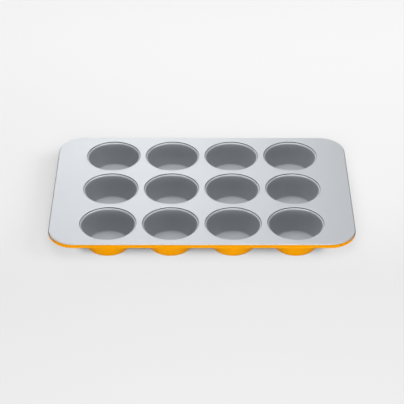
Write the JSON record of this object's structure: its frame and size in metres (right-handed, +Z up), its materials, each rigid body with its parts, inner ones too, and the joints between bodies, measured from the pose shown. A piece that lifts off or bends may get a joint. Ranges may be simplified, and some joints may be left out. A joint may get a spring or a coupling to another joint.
{
  "type": "muffin tin",
  "caption": "Rectangular muffin tin: a pressed top plate with round holes, a tapered cup hooked under each hole, and a rolled, wired rim.",
  "frame": {"origin": "middle of the footprint, on the plane that the cups' undersides stand on", "axes": "+X along the tin's length, +Y from its front to its back, +Z up out of the cups"},
  "size_m": [0.4, 0.26, 0.033],
  "materials": {
    "grey_coating": "satin grey non-stick coating with a fine metallic sheen",
    "orange_enamel": "semi-gloss orange enamel outside; the cups' insides carry the grey coating",
    "steel_wire": "drawn steel wire"
  },
  "bodies": {
    "root": {"top_plate": "grey_coating", "cup_front_1": "orange_enamel", "cup_front_2": "orange_enamel", "cup_front_3": "orange_enamel", "cup_front_4": "orange_enamel", "cup_middle_1": "orange_enamel", "cup_middle_2": "orange_enamel", "cup_middle_3": "orange_enamel", "cup_middle_4": "orange_enamel", "cup_back_1": "orange_enamel", "cup_back_2": "orange_enamel", "cup_back_3": "orange_enamel", "cup_back_4": "orange_enamel", "rim_wire": "steel_wire"}
  },
  "joints": []
}
